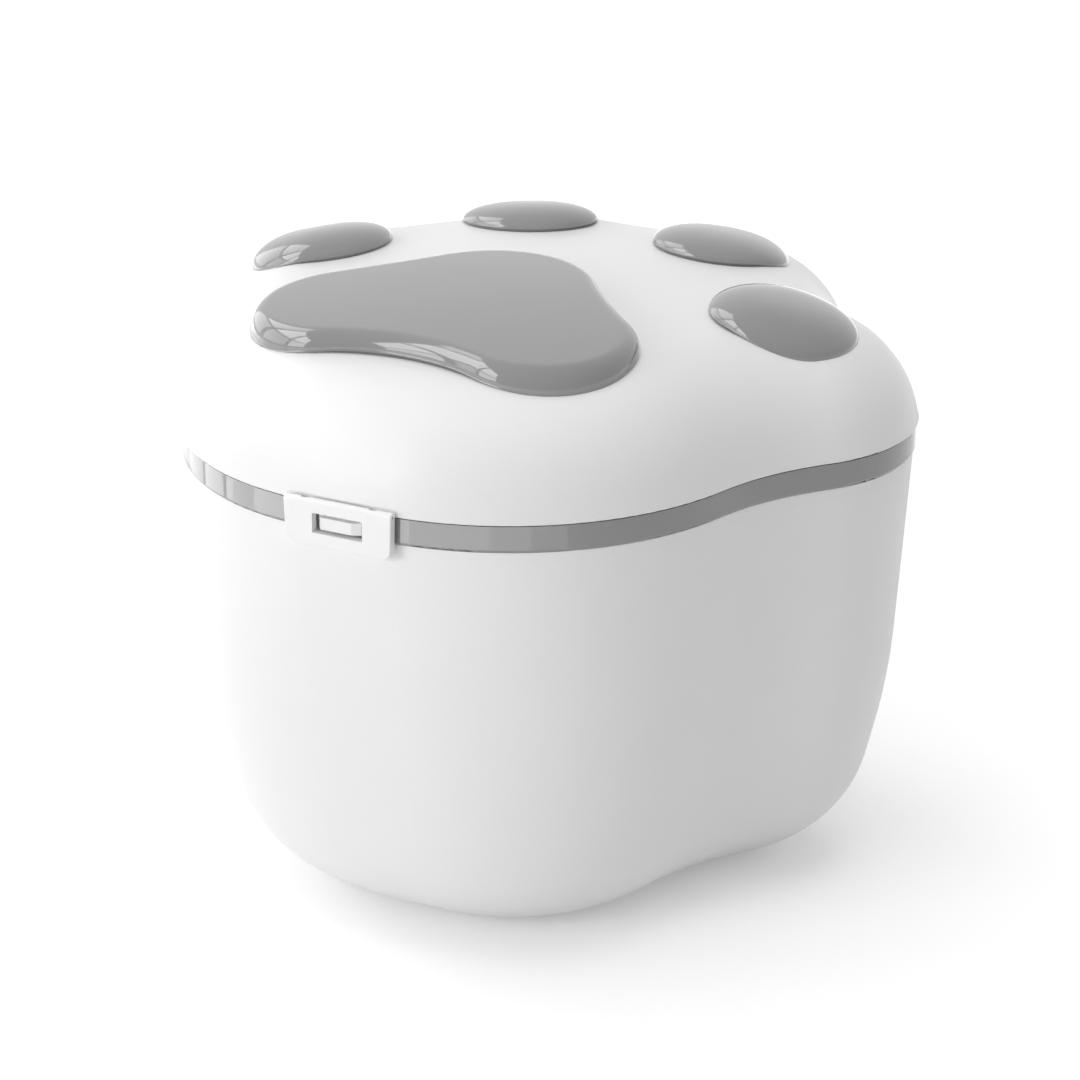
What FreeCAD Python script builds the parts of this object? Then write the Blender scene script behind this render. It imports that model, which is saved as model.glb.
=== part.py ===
"""Pet food bin: a paw-shaped tub with a hinged, domed lid, five pads and a front clasp.

Frame: +Z up, -Y to the front (the heel of the paw and the clasp), +Y to the hinge between
the inner toes, +X to the right. The origin lies on the standing surface, in the middle of
the bin's length and width. Millimetres throughout.
"""
import FreeCAD, Part
import math
import os
import Sketcher
from FreeCAD import Placement, Rotation, Vector

DIMENSIONS = [
    # outline of the rim in plan: tangent arcs, mirrored about x = 0
    ("heel_front", 142.5),            # heel's front edge, ahead of the origin
    ("heel_radius", 300.0),           # broad arc across the heel
    ("corner_radius", 102.0),         # heel's rounded corners
    ("corner_offset", 13.5),          # their centres, either side of the middle
    ("flank_hollow", 105.0),          # hollow between heel and outer toe
    ("outer_toe_radius", 58.0),
    ("outer_toe_across", 92.0),
    ("outer_toe_along", 17.0),
    ("outer_hollow", 85.0),           # hollow between outer and inner toe
    ("inner_toe_radius", 54.0),
    ("inner_toe_across", 38.5),
    ("inner_toe_along", 85.0),
    ("rear_hollow", 38.0),            # hollow between the inner toes, where the hinge sits
    # tub
    ("rim_height", 185.0),            # top of the collar
    ("collar_height", 10.2),
    ("collar_proud", 0.8),            # collar stands this far out of the tub's wall
    ("collar_thick", 2.2),
    ("collar_edge", 1.2),             # rounding of its lower edge
    ("flange_thick", 1.8),            # collar's lip over the tub's neck
    ("mouth_inset", 4.0),             # outline to the inside of the mouth
    ("bead_proud", 0.4),              # neck's bead, which the collar snaps over
    ("bead_lift", 3.0),               # above the collar's seat
    ("bead_width", 1.5),
    ("knee_height", 80.0),            # the wall leans in more below this
    ("tub_draft", 3.5),               # degrees, above the knee
    ("knee_draft", 13.1),             # degrees, below it
    ("knee_round", 250.0),
    ("foot_round", 59.3),
    ("floor_thick", 2.6),
    ("foot_recess_radius", 40.0),
    ("foot_recess_depth", 1.2),
    # lid
    ("parting_gap", 0.4),
    ("lid_proud", 1.0),               # lid's edge stands this far out of the collar
    ("lid_draft", 14.0),              # degrees
    ("lid_round", 44.0),
    ("lid_edge", 0.8),                # rounding of its lower edge
    ("crown_rise", 47.5),             # crown above the rim
    ("crown_radius", 800.0),
    ("crown_along", -8.0),
    ("crown_reach", 190.0),           # the cut that makes the crown: half length and sweep
    ("crown_sweep", 30.0),            # degrees
    ("lid_blank_height", 70.0),       # lid before the crown is cut
    ("lid_wall", 2.4),
    ("liner_level", 190.0),
    ("liner_thick", 2.0),
    ("liner_inset", 3.2),
    ("skirt_inset", 6.6),
    ("skirt_thick", 1.8),
    ("skirt_foot", 176.5),
    ("seal_foot", 178.0),
    ("seal_height", 3.0),
    ("seal_inset", 4.35),
    ("rib_inset", 0.9),               # the seal's two ribs, behind its face
    ("rib_height", 1.5),
    # hinge at the back
    ("hinge_along", 140.9),
    ("hinge_height", 185.2),
    ("knuckle_radius", 5.3),
    ("hinge_pin_radius", 1.8),
    ("hinge_pin_end", 0.6),           # stands out of each ear
    ("pin_clearance", 0.06),
    ("lid_knuckle_half", 9.7),
    ("ear_inner", 10.0),
    ("ear_outer", 16.0),
    ("ear_reach", 13.0),              # ear's web, forward into the rear wall
    ("ear_drop", 38.0),               # down the wall from the hinge's axis
    ("ear_shoulder", 6.0),            # where its slope starts, below the axis
    ("arm_reach", 11.5),              # lid's knuckle arm, forward of the axis
    ("hinge_clear", 0.6),             # ear below the collar, arm above it
    # clasp at the front
    ("clasp_half", 22.5),
    ("clasp_foot", 170.0),
    ("clasp_face", 3.7),              # clasp's outer face, ahead of the collar
    ("clasp_thick", 3.0),
    ("clasp_taper", 0.9),             # narrower at its foot, each side
    ("clasp_corner", 3.8),
    ("clasp_round", 0.5),             # rounding of its front edges
    ("clasp_trim", 0.01),             # outline's top corners, inside the blank's ends
    ("window_half", 10.3),
    ("window_foot", 175.3),
    ("window_top", 182.9),
    ("barrel_radius", 1.75),          # rolled top edge that turns on the pin
    ("clasp_axis_height", 186.15),
    ("eye_radius", 1.2),              # lid's two eyes, let into the rolled edge
    ("eye_inner", 12.3),
    ("eye_outer", 15.3),
    ("eye_clearance", 0.2),
    ("eye_web", 0.5),                 # eye's web: above the rim, and above the axis
    ("notch_front", 0.6),             # clasp's notches for the eyes, from the axis
    ("notch_drop", 0.9),
    ("notch_rise", 3.0),
    ("clasp_pin_radius", 0.6),
    ("clasp_pin_end", 0.8),           # set back from each end of the rolled edge
    ("lid_recess_depth", 0.5),        # into the lid's edge, behind the rolled edge
    ("clasp_clear", 0.4),             # recess round the rolled edge
    # latch keeper
    ("keeper_half", 9.6),
    ("keeper_thick", 1.2),
    ("keeper_border", 0.5),           # plate's foot, below the lug
    ("keeper_drop", 1.5),             # plate's top, below the rim
    ("peg_radius", 1.2),
    ("peg_spread", 5.0),
    ("peg_root", 0.5),                # pegs start this far behind the collar's face
    ("lug_left", -7.6),
    ("lug_right", 5.2),
    ("lug_ramp", 3.2),                # sloped right flank
    ("lug_reach", 2.6),               # lug's face, ahead of the collar
    ("lug_foot", 176.6),
    ("lug_top", 181.2),
    # pads
    ("pad_lobe_radius", 35.5),
    ("pad_lobe_across", 41.5),
    ("pad_lobe_along", -69.0),
    ("pad_apex_radius", 42.0),
    ("pad_apex_along", -34.0),
    ("pad_front_hollow", 107.0),
    ("pad_side_hollow", 200.0),
    ("heel_pad_rise", 7.5),           # above the crown
    ("heel_pad_round", 10.0),
    ("outer_pad_radius", 28.8),
    ("outer_pad_across", 101.4),
    ("outer_pad_along", 12.3),
    ("outer_pad_lean_out", 0.23),     # its axis leans this much per unit of height
    ("outer_pad_lean_back", 0.08),
    ("outer_pad_rise", 7.2),
    ("inner_pad_radius", 27.7),
    ("inner_pad_across", 43.2),
    ("inner_pad_along", 81.5),
    ("inner_pad_lean_out", 0.09),
    ("inner_pad_lean_back", 0.16),
    ("inner_pad_rise", 7.2),
    ("toe_pad_round", 8.2),
    ("toe_pad_crown", 160.0),         # radius of a toe pad's gently domed top
    ("button_depth", 16.0),           # toe pad's block, before it is seated on the lid
    ("pad_block_lift", 20.0),         # foot of the heel pad's block, above the rim
    ("stud_radius", 2.4),
    ("stud_spread", 8.0),             # a toe pad's two studs
    ("heel_stud_across", 45.0),
    ("heel_stud_along", -72.0),
    ("apex_stud_along", -8.0),
    ("stud_depth", 7.0),              # a stud's end, below the crown
    ("stud_length", 9.0),
    ("stud_clear", 0.1),
    ("stud_hole_depth", 9.0),
    ("stud_hole_length", 14.0),
    ("washer_radius", 5.0),
    ("washer_thick", 0.8),
    ("washer_depth", 5.2),            # below the dome, on a toe pad's stud
    # screws
    ("boss_radius", 4.0),
    ("screw_radius", 1.4),
    ("screw_head_radius", 3.0),
    ("screw_head_height", 1.8),
    ("screw_clear", 0.2),
    ("shank_length", 12.0),           # above the liner's lower face
    ("pilot_depth", 13.0),
    # fits, and how far cutting tools run past the faces that they cut
    ("seat_gap", 0.1),
    ("fit_gap", 0.05),
    ("overrun", 1.0),
    ("tool_reach", 10.0),
    ("tool_height", 60.0),
]

CLOSE = 0.01                          # two lengths this near count as one

doc = FreeCAD.newDocument("pet_food_bin")
sheet = doc.addObject("Spreadsheet::Sheet", "dims")
for row, (alias, size) in enumerate(DIMENSIONS, start=1):
    sheet.set("A%d" % row, alias)
    sheet.set("B%d" % row, str(size))
    sheet.setAlias("B%d" % row, alias)
doc.recompute()


def dim(alias):
    """A driving dimension, read from the sheet."""
    return float(sheet.get(alias))


def bind(thing, **expressions):
    """Tie properties of an object to cells of the sheet."""
    for prop, expression in expressions.items():
        thing.setExpression(prop.replace("__", "."), expression)
    return thing


def origin_plane(body, role):
    """One of a body's own three base planes."""
    return next(f for f in body.Origin.OriginFeatures if f.Role == role)


# --- sketches ----------------------------------------------------------------------------

def evaluate(expression):
    """The value of an expression over the sheet, through a spare cell."""
    sheet.set("D1", "=" + expression.replace("dims.", ""))
    sheet.recompute()
    answer = sheet.get("D1")
    return float(getattr(answer, "Value", answer))


def new_sketch(body, name, plane, offset):
    """A sketch on an origin plane of its body, moved along the plane's normal."""
    sketch = body.newObject("Sketcher::SketchObject", name)
    sketch.AttachmentSupport = (origin_plane(body, plane), [""])
    sketch.MapMode = "FlatFace"
    sketch.setExpression("AttachmentOffset.Base.z", offset)
    doc.recompute([sketch])
    return sketch


def pin_point(sketch, element, vertex, across, along):
    """Fix a point of a sketch: its distances from the sketch's origin, as expressions."""
    for kind, expression in (("DistanceX", across), ("DistanceY", along)):
        if expression is not None:
            number = sketch.addConstraint(
                Sketcher.Constraint(kind, -1, 1, element, vertex, evaluate(expression)))
            sketch.setExpression("Constraints[%d]" % number, expression)


def touch(first, second):
    """The point where two neighbouring tangent circles meet."""
    (a, radius_a, bulge_a), (b, radius_b, bulge_b) = first, second
    if bulge_a != bulge_b or radius_a > radius_b:
        return a + (b - a).normalize() * radius_a
    return b + (a - b).normalize() * radius_b


def ring_sketch(body, name, ring, inset, height):
    """A closed ring of tangent arcs, moved in by an inset and drawn at a height.

    Each arc of the ring is (centre, radius alias, bulge, fixing): the bulge is 1 where the
    outline is round and -1 where it is hollow, and the fixing gives the centre's place.
    """
    sketch = new_sketch(body, name, "XY_Plane", height)
    offset = evaluate(inset)
    arcs = [(centre, dim(alias) - bulge * offset, bulge) for centre, alias, bulge, _ in ring]
    count = len(arcs)
    for k, (centre, radius, bulge) in enumerate(arcs):
        start = touch(arcs[k - 1], arcs[k]) - centre
        end = touch(arcs[k], arcs[(k + 1) % count]) - centre
        if bulge < 0:
            start, end = end, start
        first = math.atan2(start.y, start.x)
        last = math.atan2(end.y, end.x)
        if last < first:
            last += 2 * math.pi
        circle = Part.Circle(centre, Vector(0, 0, 1), radius)
        sketch.addGeometry(Part.ArcOfCircle(circle, first, last))
    for k in range(count):
        follower = (k + 1) % count
        leaving = 2 if arcs[k][2] > 0 else 1
        entering = 1 if arcs[follower][2] > 0 else 2
        sketch.addConstraint(Sketcher.Constraint("Tangent", k, leaving, follower, entering))
    for k, (centre, alias, bulge, fixing) in enumerate(ring):
        number = sketch.addConstraint(Sketcher.Constraint("Radius", k, arcs[k][1]))
        sign = "-" if bulge > 0 else "+"
        sketch.setExpression("Constraints[%d]" % number,
                             "dims.%s %s (%s)" % (alias, sign, inset))
        pin_point(sketch, k, 3, *fixing)
    return sketch


def polygon_sketch(body, name, plane, offset, corners):
    """A closed outline of straight lines, each corner tied to its two expressions."""
    sketch = new_sketch(body, name, plane, offset)
    points = [Vector(evaluate(across), evaluate(along), 0) for across, along in corners]
    count = len(points)
    for k in range(count):
        sketch.addGeometry(Part.LineSegment(points[k], points[(k + 1) % count]))
    for k in range(count):
        sketch.addConstraint(Sketcher.Constraint("Coincident", k, 2, (k + 1) % count, 1))
    for k, (across, along) in enumerate(corners):
        pin_point(sketch, k, 1, across, along)
    return sketch


# --- the two outlines --------------------------------------------------------------------

def hollow_centre(a, radius_a, b, radius_b, hollow):
    """Centre of the arc that is tangent outside to two circles, on the outline's far side."""
    span = b - a
    reach_a = radius_a + hollow
    reach_b = radius_b + hollow
    along = (span.Length ** 2 + reach_a ** 2 - reach_b ** 2) / (2 * span.Length)
    off = math.sqrt(reach_a ** 2 - along ** 2)
    unit = span / span.Length
    return a + unit * along + Vector(unit.y, -unit.x, 0) * off


def mirrored(arc):
    """The same arc on the other side of the middle plane."""
    centre, alias, bulge, (across, along) = arc
    if across is not None:
        across = "-" + across
    return Vector(-centre.x, centre.y, 0), alias, bulge, (across, along)


def fixed_arc(alias, across, along):
    """A round arc whose centre stands at two cells of the sheet."""
    centre = Vector(dim(across), dim(along), 0)
    return centre, alias, 1, ("dims." + across, "dims." + along)


def hollow_arc(alias, before, after):
    """A hollow arc between two round ones, placed by tangency alone."""
    centre = hollow_centre(before[0], dim(before[1]), after[0], dim(after[1]), dim(alias))
    return centre, alias, -1, (None, None)


def paw_ring():
    """The rim's outline, anticlockwise from the heel."""
    heel_along = dim("heel_radius") - dim("heel_front")
    heel = (Vector(0, heel_along, 0), "heel_radius", 1,
            ("0", "dims.heel_radius - dims.heel_front"))
    inside = dim("heel_radius") - dim("corner_radius")
    drop = math.sqrt(inside ** 2 - dim("corner_offset") ** 2)
    corner = (Vector(dim("corner_offset"), heel_along - drop, 0), "corner_radius", 1,
              ("dims.corner_offset", None))
    outer = fixed_arc("outer_toe_radius", "outer_toe_across", "outer_toe_along")
    inner = fixed_arc("inner_toe_radius", "inner_toe_across", "inner_toe_along")
    right = [corner, hollow_arc("flank_hollow", corner, outer), outer,
             hollow_arc("outer_hollow", outer, inner), inner]
    left = [mirrored(arc) for arc in reversed(right)]
    return [heel] + right + [hollow_arc("rear_hollow", inner, mirrored(inner))] + left


def heel_pad_ring():
    """The heel pad's outline, anticlockwise from its right lobe."""
    lobe = fixed_arc("pad_lobe_radius", "pad_lobe_across", "pad_lobe_along")
    apex = (Vector(0, dim("pad_apex_along"), 0), "pad_apex_radius", 1,
            ("0", "dims.pad_apex_along"))
    side = hollow_arc("pad_side_hollow", lobe, apex)
    front = hollow_arc("pad_front_hollow", mirrored(lobe), lobe)
    return [lobe, side, apex, mirrored(side), mirrored(lobe), front]


# --- bodies ------------------------------------------------------------------------------

def new_body(name):
    """An empty body, to which sketches and features are added."""
    return doc.addObject("PartDesign::Body", name)


def pad_up(body, name, sketch, length):
    """Extrude a sketch along its plane's normal."""
    pad = body.newObject("PartDesign::Pad", name)
    pad.Profile = sketch
    bind(pad, Length=length)
    body.Tip = pad
    return pad


def ring_prism(name, ring, inset, foot, length):
    """A straight prism on a ring of arcs."""
    body = new_body(name)
    sketch = ring_sketch(body, name + "_outline", ring, inset, foot)
    pad_up(body, name + "_pad", sketch, length)
    return body


def tapered_body(name, levels):
    """Straight-sided skin through the paw's outline at each (inset, height), top first."""
    body = new_body(name)
    sketches = [ring_sketch(body, "%s_level_%d" % (name, k), paw_ring(), inset, height)
                for k, (inset, height) in enumerate(levels, start=1)]
    loft = body.newObject("PartDesign::AdditiveLoft", name + "_walls")
    loft.Profile = sketches[0]
    loft.Sections = sketches[1:]
    loft.Ruled = True
    body.Tip = loft
    doc.recompute()
    return body


def round_edges(body, name, radius, wanted):
    """Fillet the edges of the body's tip that pass a test."""
    doc.recompute()
    base = body.Tip
    edges = ["Edge%d" % (k + 1) for k, edge in enumerate(base.Shape.Edges) if wanted(edge)]
    fillet = body.newObject("PartDesign::Fillet", name)
    fillet.Base = (base, edges)
    bind(fillet, Radius=radius)
    body.Tip = fillet
    return fillet


def lies_at(level):
    """A test for edges that lie flat at a height."""
    return lambda edge: (abs(edge.BoundBox.ZMin - level) < CLOSE
                         and abs(edge.BoundBox.ZMax - level) < CLOSE)


# --- solids from primitives --------------------------------------------------------------

def box(name, across, along, up):
    """A box between three pairs of expressions."""
    thing = doc.addObject("Part::Box", name)
    for prop, axis, (low, high) in zip(("Length", "Width", "Height"), "xyz",
                                       (across, along, up)):
        bind(thing, **{prop: "(%s) - (%s)" % (high, low), "Placement__Base__" + axis: low})
    return thing


def rod(name, radius, length, place):
    """A cylinder whose own +Z axis starts at a placement."""
    thing = doc.addObject("Part::Cylinder", name)
    bind(thing, Radius=radius, Height=length)
    thing.Placement = place
    return thing


def cross_rod(name, radius, half, along, height):
    """A cylinder along X, centred on the middle plane."""
    thing = rod(name, radius, "2 * (%s)" % half, Placement(Vector(), Rotation(Vector(0, 1, 0), 90)))
    return bind(thing, Placement__Base__x="-(%s)" % half, Placement__Base__y=along,
                Placement__Base__z=height)


def fused(name, *things):
    """One solid out of several."""
    union = doc.addObject("Part::MultiFuse", name)
    union.Shapes = list(things)
    return union


def cut(name, base, *tools):
    """A solid with others taken away."""
    result = doc.addObject("Part::Cut", name)
    result.Base = base
    result.Tool = tools[0] if len(tools) == 1 else fused(name + "_tools", *tools)
    return result


def common(name, first, second):
    """What two solids share."""
    result = doc.addObject("Part::Common", name)
    result.Base = first
    result.Tool = second
    return result


def softened(name, base, radius, wanted):
    """A solid with those of its edges rounded that pass a test."""
    doc.recompute()
    fillet = doc.addObject("Part::Fillet", name)
    fillet.Base = base
    fillet.Edges = [(k, radius, radius) for k, edge in enumerate(base.Shape.Edges, start=1)
                    if wanted(edge)]
    return fillet


def mirror_copy(name, source):
    """The source's reflection in the middle plane."""
    copy = doc.addObject("Part::Mirroring", name)
    copy.Source = source
    copy.Normal = Vector(1, 0, 0)
    return copy


# --- shared forms ------------------------------------------------------------------------

NECK_INSET = "dims.collar_thick"
SEAT = "dims.rim_height - dims.collar_height"
LID_FOOT = "dims.rim_height + dims.parting_gap"
CLASP_AXIS = "dims.barrel_radius - dims.heel_front - dims.clasp_face"


def crown_sketch(body, name, wall):
    """Profile above the crown's arc, with the level axis it turns about."""
    middle = "dims.crown_along"
    reach = dim("crown_reach")
    radius = "dims.crown_radius - (%s)" % wall
    centre_level = "dims.rim_height + dims.crown_rise - dims.crown_radius"
    roof = "dims.rim_height + dims.crown_rise + dims.tool_height"
    sketch = new_sketch(body, name, "YZ_Plane", "0")
    bend = evaluate(radius)
    hub = Vector(evaluate(middle), evaluate(centre_level), 0)
    spread = math.asin(reach / bend)
    arc = Part.ArcOfCircle(Part.Circle(hub, Vector(0, 0, 1), bend),
                           math.pi / 2 - spread, math.pi / 2 + spread)
    drop = bend * math.cos(spread)
    corners = [hub + Vector(reach, drop, 0), Vector(hub.x + reach, evaluate(roof), 0),
               Vector(hub.x - reach, evaluate(roof), 0), hub + Vector(-reach, drop, 0)]
    sketch.addGeometry(arc)
    for first, second in zip(corners, corners[1:]):
        sketch.addGeometry(Part.LineSegment(first, second))
    for joint in ((0, 1, 1, 1), (1, 2, 2, 1), (2, 2, 3, 1), (3, 2, 0, 2)):
        sketch.addConstraint(Sketcher.Constraint("Coincident", *joint))
    for line, kind in ((1, "Vertical"), (2, "Horizontal"), (3, "Vertical")):
        sketch.addConstraint(Sketcher.Constraint(kind, line))
    number = sketch.addConstraint(Sketcher.Constraint("Radius", 0, bend))
    sketch.setExpression("Constraints[%d]" % number, radius)
    pin_point(sketch, 0, 3, middle, centre_level)
    pin_point(sketch, 1, 2, middle + " + dims.crown_reach", roof)
    pin_point(sketch, 3, 2, middle + " - dims.crown_reach", None)
    sketch.addGeometry(Part.LineSegment(hub, hub + Vector(reach, 0, 0)), True)
    pin_point(sketch, 4, 1, middle, centre_level)
    pin_point(sketch, 4, 2, middle + " + dims.crown_reach", centre_level)
    return sketch


def turn_crown(body, name, wall):
    """Cut a body's top to the crown's sphere, moved in by a wall thickness."""
    sketch = crown_sketch(body, name + "_line", wall)
    groove = body.newObject("PartDesign::Groove", name)
    groove.Profile = sketch
    groove.ReferenceAxis = (sketch, ["Axis0"])
    bind(groove, Angle="dims.crown_sweep * 1deg")
    groove.Midplane = True
    body.Tip = groove
    doc.recompute()


def on_crown(body):
    """A test for the edges round a body's crown."""
    spheres = [f for f in body.Tip.Shape.Faces if f.Surface.TypeId == "Part::GeomSphere"]
    rim = max(spheres, key=lambda face: face.Area).Edges
    return lambda edge: any(edge.isSame(other) for other in rim)


def dome(name, wall):
    """The lid's outer form, moved in by a wall thickness: leaning walls under a crown."""
    reach = "dims.lid_blank_height"
    body = tapered_body(name, [
        ("%s - dims.lid_proud + %s * tan(dims.lid_draft * 1deg)" % (wall, reach),
         "%s + %s" % (LID_FOOT, reach)),
        ("%s - dims.lid_proud" % wall, LID_FOOT)])
    turn_crown(body, name + "_crown", wall)
    round_edges(body, name + "_shoulder", "dims.lid_round - %s" % wall, on_crown(body))
    return body


def crown_level(across, along):
    """Height of the lid's crown over a point of the plan."""
    bend = dim("crown_radius")
    top = dim("rim_height") + dim("crown_rise")
    return top - bend + math.sqrt(bend ** 2 - across ** 2 - (along - dim("crown_along")) ** 2)


# --- pieces that belong to the tub -------------------------------------------------------

def wall_levels(inset, foot):
    """(inset, height) of the tub's wall at its seat, knee and foot, for one face of it."""
    upper = "(%s - dims.knee_height) * tan(dims.tub_draft * 1deg)" % SEAT
    lower = "(dims.knee_height - %s) * tan(dims.knee_draft * 1deg)" % foot
    return [(inset, SEAT),
            ("%s + %s" % (inset, upper), "dims.knee_height"),
            ("%s + %s + %s" % (inset, upper, lower), foot)]


def make_tub():
    """Moulded tub: walls that lean in towards a round foot, a neck and two hinge ears."""
    outside = tapered_body("tub_outside", wall_levels("dims.collar_proud", "0"))
    round_edges(outside, "tub_knee", "dims.knee_round", lies_at(dim("knee_height")))
    round_edges(outside, "tub_foot", "dims.foot_round", lies_at(0))
    neck = ring_sketch(outside, "tub_neck_outline", paw_ring(), NECK_INSET, SEAT)
    pad_up(outside, "tub_neck", neck, "dims.collar_height - dims.flange_thick")
    bead = ring_prism("tub_bead", paw_ring(), NECK_INSET + " - dims.bead_proud",
                      SEAT + " + dims.bead_lift", "dims.bead_width")
    inside = tapered_body("tub_inside", [("dims.mouth_inset",
                                            "dims.rim_height + dims.overrun")]
                          + wall_levels("dims.mouth_inset", "dims.floor_thick"))
    wall = "(dims.mouth_inset - dims.collar_proud)"
    round_edges(inside, "tub_inner_knee", "dims.knee_round - " + wall,
                lies_at(dim("knee_height")))
    round_edges(inside, "tub_inner_foot", "dims.foot_round - " + wall,
                lies_at(dim("floor_thick")))
    ear = make_ear()
    skin = fused("tub_skin", outside, bead, ear, mirror_copy("ear_left", ear))
    recess = rod("foot_recess", "dims.foot_recess_radius", "dims.foot_recess_depth",
                 Placement())
    bore = cross_rod("ear_bore", "dims.hinge_pin_radius", "dims.ear_outer + dims.overrun",
                     "dims.hinge_along", "dims.hinge_height")
    return cut("tub", skin, inside, recess, bore, keeper_pegs("tub_peg_holes"))


def make_ear():
    """One hinge ear: a gusset from the rear wall up to a round eye behind the collar."""
    body = new_body("ear_right")
    back = "dims.hinge_along + dims.knuckle_radius"
    front = "dims.hinge_along - dims.knuckle_radius"
    root = "dims.hinge_along - dims.ear_reach"
    under = SEAT + " - dims.hinge_clear"
    web = polygon_sketch(body, "ear_side", "YZ_Plane", "dims.ear_inner", [
        (root, "dims.hinge_height - dims.ear_drop"),
        (back, "dims.hinge_height - dims.ear_shoulder"),
        (back, "dims.hinge_height"),
        (front, "dims.hinge_height"),
        (front, under),
        (root, under)])
    pad_up(body, "ear_web", web, "dims.ear_outer - dims.ear_inner")
    eye = rod("ear_eye", "dims.knuckle_radius", "dims.ear_outer - dims.ear_inner",
              Placement(Vector(), Rotation(Vector(0, 1, 0), 90)))
    bind(eye, Placement__Base__x="dims.ear_inner", Placement__Base__y="dims.hinge_along",
         Placement__Base__z="dims.hinge_height")
    return fused("ear", body, eye)


def keeper_pegs(name):
    """The keeper's two pegs, through collar and neck."""
    pegs = []
    for side, hand in ((-1, "left"), (1, "right")):
        peg = rod("%s_%s" % (name, hand), "dims.peg_radius",
                  "dims.mouth_inset - dims.peg_root - dims.seat_gap",
                  Placement(Vector(), Rotation(Vector(1, 0, 0), -90)))
        bind(peg, Placement__Base__x="%d * dims.peg_spread" % side,
             Placement__Base__y="dims.peg_root - dims.heel_front",
             Placement__Base__z="(dims.lug_foot + dims.lug_top) / 2")
        pegs.append(peg)
    return fused(name, *pegs)


def keeper_block(name, gap):
    """Block of the keeper's width and height, with a gap all round it."""
    half = "dims.keeper_half + " + gap
    return box(name, ("-(%s)" % half, half),
               ("-dims.heel_front - dims.tool_reach", "-dims.heel_front + dims.tool_reach"),
               ("dims.lug_foot - dims.keeper_border - " + gap,
                "dims.rim_height - dims.keeper_drop + " + gap))


def make_collar():
    """Glossy band pushed over the neck: a bead holds it, and a lip covers the neck's edge."""
    foot = SEAT + " + dims.seat_gap"
    under = SEAT + " - dims.overrun"
    band = ring_prism("collar_band", paw_ring(), "0", foot, "dims.collar_height - dims.seat_gap")
    round_edges(band, "collar_lower_edge", "dims.collar_edge", lies_at(evaluate(foot)))
    bore = ring_prism("collar_bore", paw_ring(), NECK_INSET + " - dims.fit_gap", under,
                      "dims.collar_height - dims.flange_thick + dims.overrun")
    mouth = ring_prism("collar_mouth", paw_ring(), "dims.mouth_inset", under,
                       "dims.collar_height + 2 * dims.overrun")
    groove = ring_prism("collar_groove", paw_ring(),
                        NECK_INSET + " - dims.bead_proud - dims.fit_gap",
                        SEAT + " + dims.bead_lift - dims.seat_gap",
                        "dims.bead_width + 2 * dims.seat_gap")
    pocket = common("collar_pocket", keeper_block("collar_pocket_block", "dims.seat_gap"),
                    make_shell("collar_pocket_depth", "-2 * dims.overrun",
                               "dims.keeper_thick + dims.fit_gap"))
    pegs = keeper_pegs("collar_peg_holes")
    return cut("rim_collar", band, bore, mouth, groove, pocket, pegs)


def make_shell(name, outside, inside):
    """An upright wall that follows the rim's outline between two insets."""
    foot = "dims.clasp_foot - dims.overrun"
    outer = ring_prism(name + "_outer", paw_ring(), outside, foot, "dims.tool_height")
    inner = ring_prism(name + "_inner", paw_ring(), inside, foot + " - dims.overrun",
                       "dims.tool_height + 2 * dims.overrun")
    return cut(name, outer, inner)


def make_keeper():
    """White keeper let into the collar: a thin plate with the lug that the clasp catches."""
    plate = common("keeper_plate", keeper_block("keeper_plate_block", "0"),
                   make_shell("keeper_skin", "0", "dims.keeper_thick"))
    root = "dims.keeper_thick / 2 - dims.heel_front"
    face = "-dims.heel_front - dims.lug_reach"
    lug = new_body("keeper_lug")
    plan = polygon_sketch(lug, "lug_plan", "XY_Plane", "dims.lug_foot", [
        ("dims.lug_left", root), ("dims.lug_left", face), ("dims.lug_right", face),
        ("dims.lug_right + dims.lug_ramp", "%s + dims.lug_ramp / 2" % face),
        ("dims.lug_right + dims.lug_ramp", root)])
    pad_up(lug, "lug_block", plan, "dims.lug_top - dims.lug_foot")
    return fused("latch_keeper", plate, lug, keeper_pegs("keeper_pegs"))


def make_hinge_pin():
    """Steel pin through both ears and the lid's knuckle."""
    return cross_rod("hinge_pin", "dims.hinge_pin_radius",
                     "dims.ear_outer + dims.hinge_pin_end", "dims.hinge_along",
                     "dims.hinge_height")


# --- pieces that belong to the lid -------------------------------------------------------

SCREW_PLACES = [(72, -88), (120, 2), (30, 112)]    # (across, along), right side




def screw_places():
    """Where the liner's six screws stand, in plan."""
    return [(side * across, along) for across, along in SCREW_PLACES for side in (-1, 1)]


def upright_rods(name, radius, foot, length):
    """One upright cylinder at each liner screw."""
    rods = []
    for k, (across, along) in enumerate(screw_places(), start=1):
        one = rod("%s_%d" % (name, k), radius, length, Placement(Vector(across, along, 0),
                                                                   Rotation()))
        bind(one, Placement__Base__z=foot)
        rods.append(one)
    return fused(name, *rods)


def toe_places():
    """Each toe pad's frame on the crown: its Z axis leans out from the lid's middle."""
    places = {}
    for toe in ("outer", "inner"):
        across = dim(toe + "_pad_across")
        along = dim(toe + "_pad_along")
        for side, hand in ((-1, "left"), (1, "right")):
            centre = Vector(side * across, along, crown_level(across, along))
            axis = Vector(side * dim(toe + "_pad_lean_out"), dim(toe + "_pad_lean_back"), 1)
            places["%s_%s" % (toe, hand)] = Placement(centre, Rotation(Vector(0, 0, 1), axis))
    return places


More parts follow.
